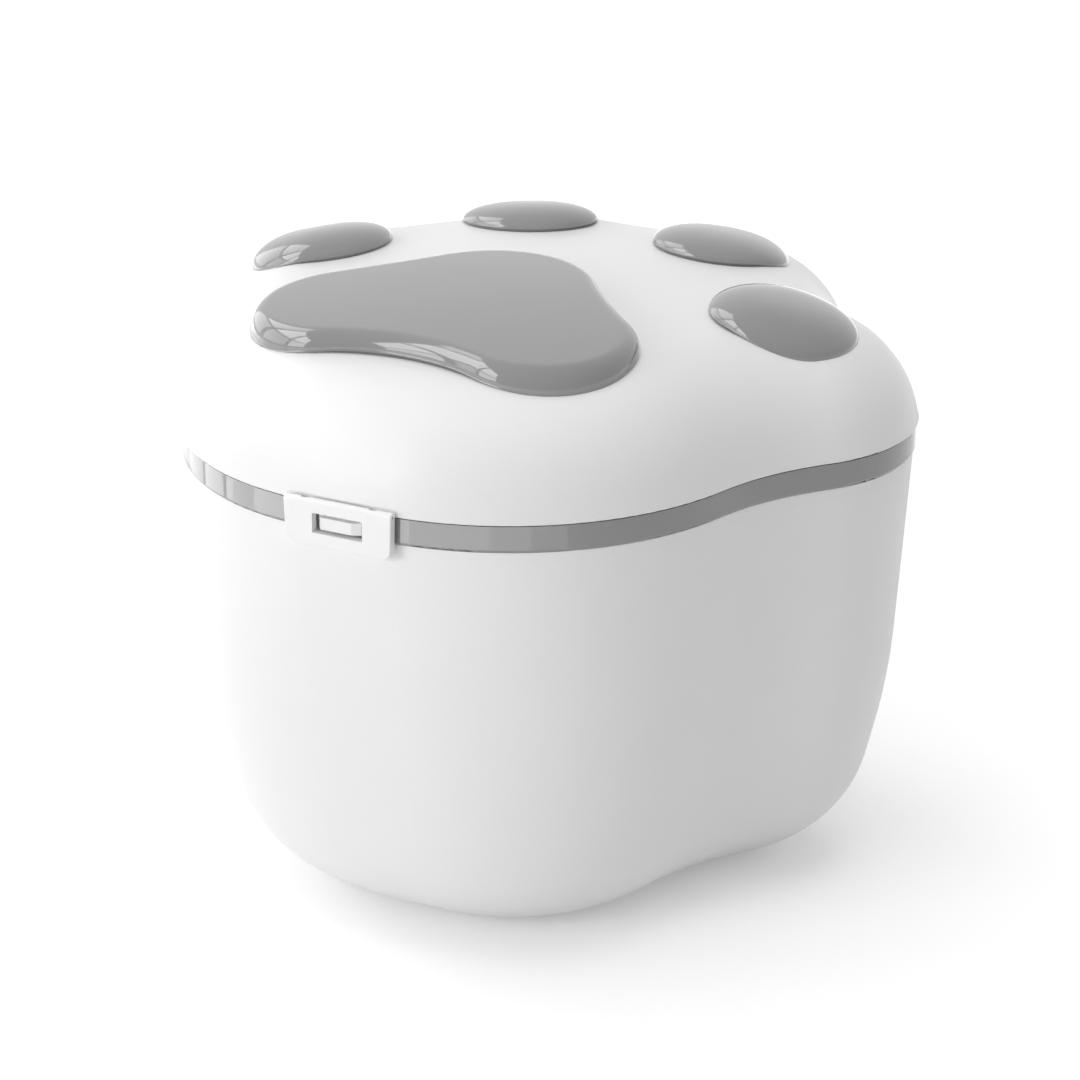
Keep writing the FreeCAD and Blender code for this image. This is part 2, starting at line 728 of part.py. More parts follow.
def stud_places():
    """Frames of all pad studs, Z along the stud, with the crown at their origin."""
    places = []
    lobe = (dim("heel_stud_across"), dim("heel_stud_along"))
    for across, along in ((-lobe[0], lobe[1]), lobe, (0, dim("apex_stud_along"))):
        level = crown_level(across, along)
        places.append(("heel", Placement(Vector(across, along, level), Rotation())))
    for toe, frame in toe_places().items():
        for side in (-1, 1):
            shift = Placement(Vector(side * dim("stud_spread"), 0, 0), Rotation())
            places.append((toe, frame.multiply(shift)))
    return places


def stud_rods(name, toe, radius, depth, length):
    """Cylinders on the studs of one pad, or of all pads, starting at a depth below the crown."""
    rods = []
    for k, (owner, frame) in enumerate(stud_places(), start=1):
        if toe in (owner, "all"):
            start = frame.multiply(Placement(Vector(0, 0, -depth), Rotation()))
            rods.append(rod("%s_%d" % (name, k), radius, length, start))
    return fused(name, *rods)


def make_lid_shell():
    """White domed lid: a thin shell with screw bosses, a hinge knuckle and clasp ears."""
    outside = dome("dome_outside", "0")
    round_edges(outside, "lid_lower_edge", "dims.lid_edge", lies_at(evaluate(LID_FOOT)))
    inside = dome("dome_inside", "dims.lid_wall")
    shell = cut("lid_walls", outside, inside)
    bosses = common("bosses", outside,
                    upright_rods("boss_rods", "dims.boss_radius",
                                 "dims.liner_level + dims.liner_thick", "dims.tool_height"))
    eyes = fused("clasp_eyes", clasp_eye("right", 1), clasp_eye("left", -1))
    arm = box("knuckle_arm", ("-dims.lid_knuckle_half", "dims.lid_knuckle_half"),
              ("dims.hinge_along - dims.arm_reach", "dims.hinge_along"),
              ("dims.rim_height + dims.hinge_clear", "dims.hinge_height + dims.knuckle_radius"))
    knuckle = cross_rod("knuckle", "dims.knuckle_radius", "dims.lid_knuckle_half",
                        "dims.hinge_along", "dims.hinge_height")
    half = "dims.clasp_half + dims.clasp_clear"
    recess = box("clasp_recess", ("-(%s)" % half, half),
                 ("-dims.heel_front - dims.tool_reach", "-dims.heel_front + dims.lid_recess_depth"),
                 ("dims.rim_height",
                  "dims.clasp_axis_height + dims.barrel_radius + dims.clasp_clear"))
    solid = fused("lid_solid", cut("lid_recessed", shell, recess), bosses, eyes, arm, knuckle)
    bore = cross_rod("knuckle_bore", "dims.hinge_pin_radius + dims.pin_clearance",
                     "dims.lid_knuckle_half + dims.overrun", "dims.hinge_along",
                     "dims.hinge_height")
    clasp_bore = cross_rod("clasp_eye_bore", "dims.clasp_pin_radius",
                           "dims.eye_outer + dims.overrun", CLASP_AXIS, "dims.clasp_axis_height")
    studs = stud_rods("stud_holes", "all", "dims.stud_radius + dims.stud_clear",
                      dim("stud_hole_depth"), "dims.stud_hole_length")
    pilots = upright_rods("pilot_holes", "dims.screw_radius", "dims.liner_level",
                          "dims.pilot_depth")
    return cut("lid_shell", solid, bore, clasp_bore, studs, pilots), outside


def clasp_eye(hand, side):
    """One eye on the lid's edge, with a short web, that carries the clasp's pin."""
    start = "dims.eye_inner" if side > 0 else "-dims.eye_outer"
    eye = rod("clasp_eye_%s_ring" % hand, "dims.eye_radius", "dims.eye_outer - dims.eye_inner",
              Placement(Vector(), Rotation(Vector(0, 1, 0), 90)))
    bind(eye, Placement__Base__x=start, Placement__Base__y=CLASP_AXIS,
         Placement__Base__z="dims.clasp_axis_height")
    web = box("clasp_eye_%s_web" % hand,
              (start, start + " + dims.eye_outer - dims.eye_inner"),
              (CLASP_AXIS, "-dims.heel_front + dims.lid_recess_depth + dims.overrun"),
              ("dims.rim_height + dims.eye_web", "dims.clasp_axis_height + dims.eye_web"))
    return fused("clasp_eye_" + hand, eye, web)


def make_liner():
    """Inner panel with a skirt that plugs the mouth and two ribs that hold the seal."""
    foot = "dims.skirt_foot"
    panel = ring_prism("liner_panel", paw_ring(), "dims.liner_inset", "dims.liner_level",
                       "dims.liner_thick")
    skirt = ring_prism("liner_skirt", paw_ring(), "dims.skirt_inset", foot,
                       "dims.liner_level - %s" % foot)
    rib = "dims.seal_inset + dims.rib_inset"
    lower = ring_prism("liner_lower_rib", paw_ring(), rib, foot, "dims.seal_foot - %s" % foot)
    upper = ring_prism("liner_upper_rib", paw_ring(), rib, "dims.seal_foot + dims.seal_height",
                       "dims.rib_height")
    hollow = ring_prism("liner_hollow", paw_ring(), "dims.skirt_inset + dims.skirt_thick",
                        foot + " - dims.overrun", "dims.liner_level - %s + dims.overrun" % foot)
    holes = upright_rods("liner_holes", "dims.screw_radius + dims.screw_clear",
                         "dims.liner_level - dims.overrun", "dims.liner_thick + 2 * dims.overrun")
    return cut("lid_liner", fused("liner_solid", panel, skirt, lower, upper), hollow, holes)


def make_seal():
    """Silicone ring between the skirt's ribs, just clear of the neck."""
    ring = ring_prism("seal_ring", paw_ring(), "dims.seal_inset", "dims.seal_foot",
                      "dims.seal_height")
    hole = ring_prism("seal_hole", paw_ring(), "dims.skirt_inset",
                      "dims.seal_foot - dims.overrun", "dims.seal_height + 2 * dims.overrun")
    return cut("lid_seal", ring, hole)


def make_screws():
    """Six pan-head screws, up through the liner into the lid's bosses."""
    foot = "dims.liner_level - dims.screw_head_height"
    heads = upright_rods("screw_heads", "dims.screw_head_radius", foot, "dims.screw_head_height")
    shanks = upright_rods("screw_shanks", "dims.screw_radius", foot,
                          "dims.screw_head_height + dims.shank_length")
    return fused("liner_screws", heads, shanks)


def make_heel_pad(crown):
    """Glossy heel pad: its top runs level with the crown, its edge is round, three studs."""
    body = ring_prism("heel_pad_block", heel_pad_ring(), "0",
                      "dims.rim_height + dims.pad_block_lift", "dims.tool_height")
    turn_crown(body, "heel_pad_top", "-dims.heel_pad_rise")
    round_edges(body, "heel_pad_edge", "dims.heel_pad_round", on_crown(body))
    seated = cut("heel_pad_seated", body, crown)
    return fused("heel_pad", seated, stud_rods("heel_studs", "heel", "dims.stud_radius",
                                               dim("stud_depth"), "dims.stud_length"))


def make_toe_pad(toe, frame, crown):
    """Glossy toe pad: a turned button with a domed top, seated on the lid, two studs."""
    kind = toe.split("_")[0]
    radius = "dims.%s_pad_radius" % kind
    rise = "dims.%s_pad_rise" % kind
    body = new_body("toe_button_" + toe)
    sketch = button_sketch(body, "button_line_" + toe, radius, rise)
    turned = body.newObject("PartDesign::Revolution", "button_" + toe)
    turned.Profile = sketch
    turned.ReferenceAxis = (sketch, ["V_Axis"])
    turned.Angle = 360
    body.Tip = turned
    body.Placement = frame
    seated = cut("toe_pad_seated_" + toe, body, crown)
    return fused("toe_pad_" + toe, seated,
                 stud_rods("toe_studs_" + toe, toe, "dims.stud_radius", dim("stud_depth"),
                           "dims.stud_length"))


def button_sketch(body, name, radius, rise):
    """Half profile of a toe pad: domed top, round shoulder, straight side, flat base."""
    sketch = new_sketch(body, name, "XZ_Plane", "0")
    reach = evaluate(radius)
    top = evaluate(rise)
    bend = dim("toe_pad_crown")
    edge = dim("toe_pad_round")
    foot = -dim("button_depth")
    inner = reach - edge
    shoulder = Vector(inner, top - bend + math.sqrt((bend - edge) ** 2 - inner ** 2), 0)
    hub = Vector(0, top - bend, 0)
    meet = math.atan2(shoulder.y - hub.y, shoulder.x)
    sketch.addGeometry(Part.ArcOfCircle(Part.Circle(hub, Vector(0, 0, 1), bend),
                                        meet, math.pi / 2))
    sketch.addGeometry(Part.ArcOfCircle(Part.Circle(shoulder, Vector(0, 0, 1), edge), 0, meet))
    corners = [Vector(reach, shoulder.y, 0), Vector(reach, foot, 0), Vector(0, foot, 0),
               Vector(0, top, 0)]
    for first, second in zip(corners, corners[1:]):
        sketch.addGeometry(Part.LineSegment(first, second))
    sketch.addConstraint(Sketcher.Constraint("Tangent", 0, 1, 1, 2))
    sketch.addConstraint(Sketcher.Constraint("Tangent", 1, 1, 2, 1))
    for joint in ((2, 2, 3, 1), (3, 2, 4, 1), (4, 2, 0, 2)):
        sketch.addConstraint(Sketcher.Constraint("Coincident", *joint))
    for line, kind in ((2, "Vertical"), (3, "Horizontal"), (4, "Vertical")):
        sketch.addConstraint(Sketcher.Constraint(kind, line))
    for arc, size in ((0, "dims.toe_pad_crown"), (1, "dims.toe_pad_round")):
        number = sketch.addConstraint(Sketcher.Constraint("Radius", arc, evaluate(size)))
        sketch.setExpression("Constraints[%d]" % number, size)
    pin_point(sketch, 0, 3, "0", "%s - dims.toe_pad_crown" % rise)
    pin_point(sketch, 2, 2, radius, "-dims.button_depth")
    pin_point(sketch, 4, 1, "0", None)
    return sketch


def make_retainers():
    """Push-on washers that hold the pads' studs inside the lid."""
    depth = dim("washer_depth")
    rings = stud_rods("washers", "all", "dims.washer_radius", depth, "dims.washer_thick")
    holes = stud_rods("washer_holes", "all", "dims.stud_radius", depth + dim("overrun"),
                      "dims.washer_thick + 2 * dims.overrun")
    return cut("pad_retainers", rings, holes)


def clasp_profile(body):
    """The clasp's side view: a flat plate whose top edge is rolled round the pin."""
    sketch = new_sketch(body, "clasp_side", "YZ_Plane", "-dims.clasp_half")
    back = "-dims.heel_front - dims.clasp_face + dims.clasp_thick"
    hub = Vector(evaluate(CLASP_AXIS), dim("clasp_axis_height"), 0)
    radius = dim("barrel_radius")
    behind = evaluate(back)
    low = dim("clasp_foot")
    drop = -math.acos((behind - hub.x) / radius)
    meet = hub + Vector(math.cos(drop), math.sin(drop), 0) * radius
    front = hub - Vector(radius, 0, 0)
    sketch.addGeometry(Part.ArcOfCircle(Part.Circle(hub, Vector(0, 0, 1), radius), drop, math.pi))
    corners = [front, Vector(front.x, low, 0), Vector(behind, low, 0), meet]
    for first, second in zip(corners, corners[1:]):
        sketch.addGeometry(Part.LineSegment(first, second))
    sketch.addConstraint(Sketcher.Constraint("Tangent", 0, 2, 1, 1))
    for joint in ((1, 2, 2, 1), (2, 2, 3, 1), (3, 2, 0, 1)):
        sketch.addConstraint(Sketcher.Constraint("Coincident", *joint))
    sketch.addConstraint(Sketcher.Constraint("Horizontal", 2))
    sketch.addConstraint(Sketcher.Constraint("Vertical", 3))
    number = sketch.addConstraint(Sketcher.Constraint("Radius", 0, radius))
    sketch.setExpression("Constraints[%d]" % number, "dims.barrel_radius")
    pin_point(sketch, 0, 3, CLASP_AXIS, "dims.clasp_axis_height")
    pin_point(sketch, 2, 2, back, "dims.clasp_foot")
    return sketch


def make_clasp():
    """White clasp: a flat plate with a window, hung from its rolled top edge."""
    strip = new_body("clasp_strip")
    pad_up(strip, "clasp_blank", clasp_profile(strip), "2 * dims.clasp_half")
    front = new_body("clasp_outline")
    foot_half = "dims.clasp_half - dims.clasp_taper"
    head_half = "dims.clasp_half - dims.clasp_trim"
    head = "dims.clasp_axis_height + dims.tool_reach"
    behind = "dims.heel_front - dims.tool_reach"
    sketch = polygon_sketch(front, "clasp_front", "XZ_Plane", behind, [
        ("-(%s)" % foot_half, "dims.clasp_foot"), (foot_half, "dims.clasp_foot"),
        (head_half, head), ("-(%s)" % head_half, head)])
    pad_up(front, "clasp_front_block", sketch, "2 * dims.tool_reach")
    low = dim("clasp_foot") + CLOSE
    round_edges(front, "clasp_corners", "dims.clasp_corner",
                lambda edge: edge.BoundBox.ZMax < low and edge.BoundBox.XLength < CLOSE)
    window = box("clasp_window", ("-dims.window_half", "dims.window_half"),
                 ("-dims.heel_front - dims.tool_reach", "-dims.heel_front + dims.overrun"),
                 ("dims.window_foot", "dims.window_top"))
    bore = cross_rod("clasp_bore", "dims.clasp_pin_radius + dims.pin_clearance",
                     "dims.clasp_half + dims.overrun", CLASP_AXIS, "dims.clasp_axis_height")
    notches = [clasp_notch(hand, side) for hand, side in (("right", 1), ("left", -1))]
    blank = softened("clasp_rounded", common("clasp_solid", strip, front), dim("clasp_round"),
                     on_clasp_front)
    return cut("clasp", blank, window, bore, *notches)


def on_clasp_front(edge):
    """A test for the plate's front edges and the round ends of its rolled edge."""
    bounds = edge.BoundBox
    face = -dim("heel_front") - dim("clasp_face")
    flat = abs(bounds.YMin - face) < CLOSE and bounds.YLength < CLOSE
    seam = abs(bounds.ZMin - dim("clasp_axis_height")) < CLOSE
    return (flat and not seam) or edge.Curve.TypeId == "Part::GeomEllipse"


def clasp_notch(hand, side):
    """Room in the rolled edge for one of the lid's eyes and its web, open at the back."""
    inner = "dims.eye_inner - dims.eye_clearance"
    outer = "dims.eye_outer + dims.eye_clearance"
    start, end = (inner, outer) if side > 0 else ("-(%s)" % outer, "-(%s)" % inner)
    pocket = rod("clasp_notch_%s_round" % hand, "dims.eye_radius + dims.eye_clearance",
                 "%s - (%s)" % (end, start), Placement(Vector(), Rotation(Vector(0, 1, 0), 90)))
    bind(pocket, Placement__Base__x=start, Placement__Base__y=CLASP_AXIS,
         Placement__Base__z="dims.clasp_axis_height")
    back = box("clasp_notch_%s_back" % hand, (start, end),
               (CLASP_AXIS + " - dims.notch_front", "-dims.heel_front + 2 * dims.overrun"),
               ("dims.clasp_axis_height - dims.notch_drop",
                "dims.clasp_axis_height + dims.notch_rise"))
    return fused("clasp_notch_" + hand, pocket, back)


def make_clasp_pin():
    """Thin steel pin through the lid's eyes and the clasp's rolled edge."""
    return cross_rod("clasp_pin", "dims.clasp_pin_radius", "dims.clasp_half - dims.clasp_pin_end",
                     CLASP_AXIS, "dims.clasp_axis_height")


def build_nodes():
    """Every separate piece, by the name of its node."""
    shell, crown = make_lid_shell()
    nodes = {
        "tub": make_tub(),
        "rim_collar": make_collar(),
        "latch_keeper": make_keeper(),
        "hinge_pin": make_hinge_pin(),
        "lid_shell": shell,
        "lid_liner": make_liner(),
        "lid_seal": make_seal(),
        "liner_screws": make_screws(),
        "heel_pad": make_heel_pad(crown),
        "pad_retainers": make_retainers(),
        "clasp": make_clasp(),
        "clasp_pin": make_clasp_pin(),
    }
    for toe, frame in toe_places().items():
        nodes["toe_pad_" + toe] = make_toe_pad(toe, frame, crown)
    return nodes


def export(nodes):
    """Check the whole document, then write each piece's STEP file."""
    doc.recompute()
    failed = [thing.Name for thing in doc.Objects
              if "Invalid" in thing.State or "Error" in thing.State]
    if failed:
        raise RuntimeError("failed features: " + ", ".join(failed))
    os.makedirs("parts", exist_ok=True)
    for name, thing in nodes.items():
        shape = thing.Shape
        if shape.isNull() or not shape.isValid() or not shape.Solids:
            raise RuntimeError("bad solid: " + name)
        thing.Label = name
        shape.exportStep("parts/%s.step" % name)
        print("%-22s %2d solid(s) %9.0f mm3" % (name, len(shape.Solids), shape.Volume))


export(build_nodes())
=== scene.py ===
"""Pet food bin: a white paw-shaped tub with a glossy grey band, pads and a front clasp.

The sections follow the bin as it is put together, from the tub to the clasp, and then the
floor, the lamps and the camera. Metres throughout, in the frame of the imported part.
"""
import bpy
import numpy as np
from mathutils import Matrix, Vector


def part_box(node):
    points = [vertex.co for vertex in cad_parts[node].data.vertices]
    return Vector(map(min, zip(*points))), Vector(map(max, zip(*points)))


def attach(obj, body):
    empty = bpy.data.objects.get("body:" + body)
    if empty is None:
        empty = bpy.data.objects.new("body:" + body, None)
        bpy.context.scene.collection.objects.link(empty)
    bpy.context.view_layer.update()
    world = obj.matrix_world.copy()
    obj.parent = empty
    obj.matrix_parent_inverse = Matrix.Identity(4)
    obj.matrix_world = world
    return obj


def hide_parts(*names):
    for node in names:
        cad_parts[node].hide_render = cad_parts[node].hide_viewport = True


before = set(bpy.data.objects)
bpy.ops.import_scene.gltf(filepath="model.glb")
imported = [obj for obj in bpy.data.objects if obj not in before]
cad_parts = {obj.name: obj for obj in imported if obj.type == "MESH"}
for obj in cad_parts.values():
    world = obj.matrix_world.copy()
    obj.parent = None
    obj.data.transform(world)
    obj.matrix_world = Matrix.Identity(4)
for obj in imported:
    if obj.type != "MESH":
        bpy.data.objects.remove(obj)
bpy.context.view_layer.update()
MM = 0.001

# --- Tub ---------------------------------------------------------------------------------
# One injection moulding in white polypropylene, with its hinge ears. The mould is finely
# spark-eroded, so the walls are satin: a soft wide highlight and no sharp reflections.


def linear(code):
    """Linear colour of an sRGB hex code: each channel c becomes ((c + 0.055) / 1.055) ^ 2.4."""
    channels = np.array([int(code[k:k + 2], 16) for k in (1, 3, 5)]) / 255
    low = channels / 12.92
    high = ((channels + 0.055) / 1.055) ** 2.4
    return (*np.where(channels <= 0.04045, low, high), 1.0)


def add_node(owner, kind, links=(), **settings):
    """A node of a material or the world, with its settings and links.

    A setting in lower case is a plain attribute, and any other is a socket, with _ for a
    space. Each link is (socket of this node, output of an earlier node).
    """
    tree = owner.node_tree
    node = tree.nodes.new(kind)
    for name, value in settings.items():
        if name[0].islower():
            setattr(node, name, value)
        else:
            node.inputs[name.replace("_", " ")].default_value = value
    for socket, output in links:
        tree.links.new(output, node.inputs[socket])
    return node


def new_material(name):
    """An empty node material."""
    material = bpy.data.materials.new(name)
    material.use_nodes = True
    material.node_tree.nodes.clear()
    return material


MIX_FIRST, MIX_SECOND, MIX_RESULT = 6, 7, 2     # a Mix node's colour sockets, by number
FLOW_MARK = 71.4 * MM   # breadth of the marks that the plastic leaves as it fills the mould
STREAK_LENGTH = 16.67 * MM
STREAK_WIDTH = 1.111 * MM       # rubbed streaks
GRAIN = 0.7 * MM        # spark-eroded grain is 0.1 mm; drawn coarser so that it shows


def satin_polypropylene(name, colour, shade):
    """Satin moulded polypropylene: milky white, even, with a fine grain and faint handling.

    Grain gives the bump, broad flow marks vary the colour a little between two near
    shades, and short rubbed streaks are a touch smoother than the grain around them.
    """
    material = new_material(name)
    place = add_node(material, "ShaderNodeTexCoord").outputs["Object"]
    flow = add_node(material, "ShaderNodeTexNoise", [("Vector", place)],
                    Scale=1 / FLOW_MARK, Detail=3.0, Roughness=0.5)
    tint = add_node(material, "ShaderNodeMix", [("Factor", flow.outputs["Fac"])],
                    data_type="RGBA")
    tint.inputs[MIX_FIRST].default_value = linear(colour)
    tint.inputs[MIX_SECOND].default_value = linear(shade)
    turned = add_node(material, "ShaderNodeMapping", [("Vector", place)],
                      Scale=(1 / STREAK_LENGTH, 1 / STREAK_LENGTH, 1 / STREAK_WIDTH),
                      Rotation=(0.3, 0.5, 0.2))
    rubbed = add_node(material, "ShaderNodeTexNoise", [("Vector", turned.outputs[0])],
                      Scale=1.0, Detail=4.0, Roughness=0.6)
    gloss = add_node(material, "ShaderNodeMapRange", [("Value", rubbed.outputs["Fac"])],
                     From_Min=0.35, From_Max=0.65, To_Min=0.44, To_Max=0.36)
    grain = add_node(material, "ShaderNodeTexNoise", [("Vector", place)],
                     Scale=1 / GRAIN, Detail=2.0, Roughness=0.55)
    bump = add_node(material, "ShaderNodeBump", [("Height", grain.outputs["Fac"])],
                    Strength=0.16, Distance=0.05 * MM)
    shader = add_node(material, "ShaderNodeBsdfPrincipled",
                      [("Base Color", tint.outputs[MIX_RESULT]), ("Roughness", gloss.outputs[0]),
                       ("Normal", bump.outputs[0])],
                      IOR=1.49)
    add_node(material, "ShaderNodeOutputMaterial", [("Surface", shader.outputs[0])])
    return material


def dress(material, *nodes):
    """Give CAD nodes their finish."""
    for name in nodes:
        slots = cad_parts[name].material_slots
        for slot in slots:
            slot.material = material
        if not slots:
            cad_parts[name].data.materials.append(material)


white_polypropylene = satin_polypropylene("satin_white_polypropylene", "#F0F0F0", "#ECECEC")
dress(white_polypropylene, "tub")

# --- Rim band ----------------------------------------------------------------------------
# Grey band pushed over the tub's neck, moulded in ABS from a polished tool and fixed by a
# snap bead. Polished ABS mirrors its surroundings, slightly rippled where it shrank.

CLOUD = 45.5 * MM       # breadth of the slow change in colour
RIPPLE = 9 * MM         # breadth of the sink ripples
SPECK = 1.6 * MM        # fine dust specks are 0.2 mm; drawn coarser so that they show


def polished_abs(name, colour, shade):
    """Polished grey ABS: a mirror coat over a mid grey, with sink ripples and light wipe marks."""
    material = new_material(name)
    place = add_node(material, "ShaderNodeTexCoord").outputs["Object"]
    cloud = add_node(material, "ShaderNodeTexNoise", [("Vector", place)],
                     Scale=1 / CLOUD, Detail=2.0)
    tint = add_node(material, "ShaderNodeMix", [("Factor", cloud.outputs["Fac"])],
                    data_type="RGBA")
    tint.inputs[MIX_FIRST].default_value = linear(colour)
    tint.inputs[MIX_SECOND].default_value = linear(shade)
    wipe = add_node(material, "ShaderNodeTexNoise", [("Vector", place)], Scale=1 / SPECK,
                    Detail=5.0, Roughness=0.7)
    gloss = add_node(material, "ShaderNodeMapRange", [("Value", wipe.outputs["Fac"])],
                     From_Min=0.45, From_Max=0.75, To_Min=0.045, To_Max=0.11)
    ripple = add_node(material, "ShaderNodeTexNoise", [("Vector", place)], Scale=1 / RIPPLE,
                      Detail=1.0, Roughness=0.4)
    bump = add_node(material, "ShaderNodeBump", [("Height", ripple.outputs["Fac"])],
                    Strength=0.35, Distance=0.12 * MM)
    shader = add_node(material, "ShaderNodeBsdfPrincipled",
                      [("Base Color", tint.outputs[MIX_RESULT]), ("Roughness", gloss.outputs[0]),
                       ("Normal", bump.outputs[0])],
                      IOR=1.53, Coat_Weight=0.45, Coat_Roughness=0.03)
    add_node(material, "ShaderNodeOutputMaterial", [("Surface", shader.outputs[0])])
    return material


grey_abs = polished_abs("polished_grey_abs", "#8C8C8C", "#888888")
dress(grey_abs, "rim_collar")

# --- Latch keeper ------------------------------------------------------------------------
# Small white moulding let into the band, with the lug that the clasp hooks over. It is the
# same polypropylene as the tub, and is held by two pegs through band and neck.

dress(white_polypropylene, "latch_keeper")

# --- Hinge pin ---------------------------------------------------------------------------
# Stainless wire, drawn, cut to length and pressed through the tub's ears. Drawing leaves
# fine lines along its length, which stretch the highlight across them.

DRAW_LINE = 0.25 * MM   # draw lines are 0.02 mm apart; drawn coarser so that they show
DRAW_REACH = 50 * MM    # and run on for about this long


def drawn_steel(name, colour, along):
    """Drawn stainless wire: noise stretched along the wire varies roughness and bump."""
    material = new_material(name)
    place = add_node(material, "ShaderNodeTexCoord").outputs["Object"]
    stretch = [1 / DRAW_LINE] * 3
    stretch["XYZ".index(along)] = 1 / DRAW_REACH
    turned = add_node(material, "ShaderNodeMapping", [("Vector", place)], Scale=stretch)
    lines = add_node(material, "ShaderNodeTexNoise", [("Vector", turned.outputs[0])],
                     Scale=1.0, Detail=3.0)
    gloss = add_node(material, "ShaderNodeMapRange", [("Value", lines.outputs["Fac"])],
                     To_Min=0.18, To_Max=0.42)
    bump = add_node(material, "ShaderNodeBump", [("Height", lines.outputs["Fac"])],
                    Strength=0.3, Distance=0.02 * MM)
    shader = add_node(material, "ShaderNodeBsdfPrincipled",
                      [("Roughness", gloss.outputs[0]), ("Normal", bump.outputs[0])],
                      Base_Color=linear(colour), Metallic=1.0)
    add_node(material, "ShaderNodeOutputMaterial", [("Surface", shader.outputs[0])])
    return material


wire_steel = drawn_steel("drawn_stainless_wire", "#B9B9BA", "X")
dress(wire_steel, "hinge_pin")

# --- Lid shell and liner -----------------------------------------------------------------
# The domed lid is a thin white polypropylene moulding. Inside it a flat liner of the same
# material carries the skirt that plugs the tub's mouth.

dress(white_polypropylene, "lid_shell", "lid_liner")

# --- Seal --------------------------------------------------------------------------------
# Silicone ring between the skirt's two ribs, moulded and stretched into place. It is milky
# and soft, and holds a little dust.

DUST_PATCH = 11.1 * MM  # breadth of the dusty patches


def milky_silicone(name, colour, dust):
    """Moulded silicone: translucent milky body, dull skin, dust in soft patches."""
    material = new_material(name)
    place = add_node(material, "ShaderNodeTexCoord").outputs["Object"]
    patches = add_node(material, "ShaderNodeTexNoise", [("Vector", place)],
                       Scale=1 / DUST_PATCH, Detail=4.0)
    tint = add_node(material, "ShaderNodeMix", [("Factor", patches.outputs["Fac"])],
                    data_type="RGBA")
    tint.inputs[MIX_FIRST].default_value = linear(colour)
    tint.inputs[MIX_SECOND].default_value = linear(dust)
    gloss = add_node(material, "ShaderNodeMapRange", [("Value", patches.outputs["Fac"])],
                     To_Min=0.45, To_Max=0.65)
    bump = add_node(material, "ShaderNodeBump", [("Height", patches.outputs["Fac"])],
                    Strength=0.2, Distance=0.05 * MM)
    shader = add_node(material, "ShaderNodeBsdfPrincipled",
                      [("Base Color", tint.outputs[MIX_RESULT]), ("Roughness", gloss.outputs[0]),
                       ("Normal", bump.outputs[0])],
                      IOR=1.41, Subsurface_Weight=0.3, Subsurface_Scale=1.5 * MM)
    add_node(material, "ShaderNodeOutputMaterial", [("Surface", shader.outputs[0])])
    return material


dress(milky_silicone("milky_silicone", "#DCDCDA", "#CFCFCC"), "lid_seal")

# --- Screws and washers ------------------------------------------------------------------
# Six pan-head screws hold the liner to the lid's bosses, and push-on washers grip the
# pads' studs. All are zinc-plated steel: bluish grey, with a faint crystal mottle.

CRYSTAL = 0.9 * MM      # zinc crystals are finer; drawn coarser so that they show


def zinc_plate(name, colour, shade):
    """Zinc-plated steel: cells of two near greys, roughness varied with the cells."""
    material = new_material(name)
    place = add_node(material, "ShaderNodeTexCoord").outputs["Object"]
    cells = add_node(material, "ShaderNodeTexVoronoi", [("Vector", place)],
                     Scale=1 / CRYSTAL)
    tint = add_node(material, "ShaderNodeMix", [("Factor", cells.outputs["Distance"])],
                    data_type="RGBA")
    tint.inputs[MIX_FIRST].default_value = linear(colour)
    tint.inputs[MIX_SECOND].default_value = linear(shade)
    gloss = add_node(material, "ShaderNodeMapRange", [("Value", cells.outputs["Distance"])],
                     To_Min=0.25, To_Max=0.45)
    bump = add_node(material, "ShaderNodeBump", [("Height", cells.outputs["Distance"])],
                    Strength=0.25, Distance=0.03 * MM)
    shader = add_node(material, "ShaderNodeBsdfPrincipled",
                      [("Base Color", tint.outputs[MIX_RESULT]), ("Roughness", gloss.outputs[0]),
                       ("Normal", bump.outputs[0])],
                      Metallic=1.0)
    add_node(material, "ShaderNodeOutputMaterial", [("Surface", shader.outputs[0])])
    return material


dress(zinc_plate("zinc_plated_steel", "#AEB0B4", "#9A9CA2"), "liner_screws", "pad_retainers")

# --- Heel pad ----------------------------------------------------------------------------
# The large pad is one polished ABS moulding, snapped into the lid by three studs. Its top
# runs level with the lid's crown, and its edge rolls over softly down to a shadow gap.

RIM_FRONT = -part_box("rim_collar")[0].y      # heel's front edge, ahead of the origin
RIM_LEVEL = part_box("rim_collar")[1].z       # top of the band
CROWN_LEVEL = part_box("lid_shell")[1].z      # top of the lid
CROWN_RADIUS = 800 * MM                     # sphere of the lid's crown and the pad's top
CROWN_ALONG = -8 * MM                       # the crown is highest here
LID_ROUND = 44 * MM                         # lid's broad shoulder
LID_DRAFT = np.radians(14.0)                # its walls lean in
LID_PROUD = 1.0 * MM                        # its edge, outside the band
LOBE_RADIUS = 35.5 * MM                     # pad's two front lobes
APEX_RADIUS = 42 * MM                       # and its rear end
FRONT_HOLLOW = 107 * MM                     # hollow between the lobes
SIDE_HOLLOW = 200 * MM                      # hollow from each lobe to the rear end
PAD_ROLL = 6.8 * MM                         # breadth of the rolled edge
ROLL_POWER = 2.2                            # above 2, so that the roll starts gently
SHADOW_GAP = 0.8 * MM                       # edge is tucked in by this above the lid
PAD_ROOT = 1.2 * MM                         # and runs this far into it
HUB = 0.04                                  # innermost ring of the top, against its edge
TOP_RINGS, ROLL_RINGS, TUCK_RINGS = 16, 24, 6


